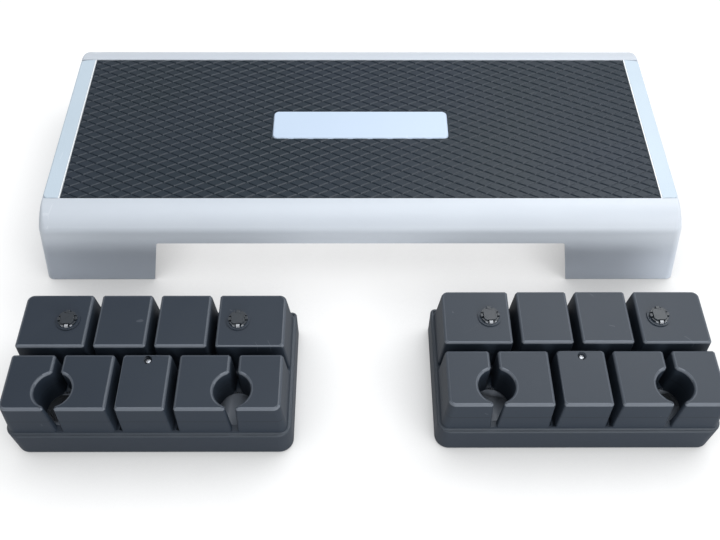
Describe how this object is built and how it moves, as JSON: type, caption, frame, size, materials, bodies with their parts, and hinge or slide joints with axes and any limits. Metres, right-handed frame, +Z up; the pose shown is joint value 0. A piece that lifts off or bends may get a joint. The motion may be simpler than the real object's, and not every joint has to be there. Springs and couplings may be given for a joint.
{
  "type": "aerobic step platform",
  "caption": "Low exercise step: a hollow moulded platform with a diamond-tread mat, and loose riser blocks that lock under its legs to raise it.",
  "frame": {"origin": "middle of the whole set's footprint, on the floor", "axes": "+X along the platform's length, +Y from the risers towards the platform, +Z up"},
  "size_m": [0.826, 0.5728, 0.12],
  "materials": {
    "shell_plastic": "satin",
    "tread_rubber": "matt",
    "plate_plastic": "satin",
    "strip_plastic": "satin",
    "riser_plastic": "satin",
    "base_plastic": "satin",
    "stud_plastic": "satin",
    "sleeve_plastic": "satin",
    "screw_steel": "bright zinc",
    "foot_rubber": "matt"
  },
  "bodies": {
    "platform": {"deck_shell": "shell_plastic", "step_mat": "tread_rubber", "badge_plate": "plate_plastic", "left_end_strip": "strip_plastic", "right_end_strip": "strip_plastic", "front_left_foot": "foot_rubber", "front_right_foot": "foot_rubber", "back_left_foot": "foot_rubber", "back_right_foot": "foot_rubber", "front_left_sleeve": "sleeve_plastic", "front_right_sleeve": "sleeve_plastic", "back_left_sleeve": "sleeve_plastic", "back_right_sleeve": "sleeve_plastic"},
    "left_riser": {"left_riser_top": "riser_plastic", "left_riser_base": "base_plastic", "left_riser_left_stud": "stud_plastic", "left_riser_right_stud": "stud_plastic", "left_riser_screw": "screw_steel", "left_riser_front_left_pad": "foot_rubber", "left_riser_front_right_pad": "foot_rubber", "left_riser_back_left_pad": "foot_rubber", "left_riser_back_right_pad": "foot_rubber"},
    "right_riser": {"right_riser_top": "riser_plastic", "right_riser_base": "base_plastic", "right_riser_left_stud": "stud_plastic", "right_riser_right_stud": "stud_plastic", "right_riser_screw": "screw_steel", "right_riser_front_left_pad": "foot_rubber", "right_riser_front_right_pad": "foot_rubber", "right_riser_back_left_pad": "foot_rubber", "right_riser_back_right_pad": "foot_rubber"}
  },
  "joints": [
    {"name": "left_riser_lift", "type": "slide", "parent": "platform", "child": "left_riser", "axis": [0, 0, 1], "range_m": [0, 0.2]},
    {"name": "right_riser_lift", "type": "slide", "parent": "platform", "child": "right_riser", "axis": [0, 0, 1], "range_m": [0, 0.2]}
  ]
}
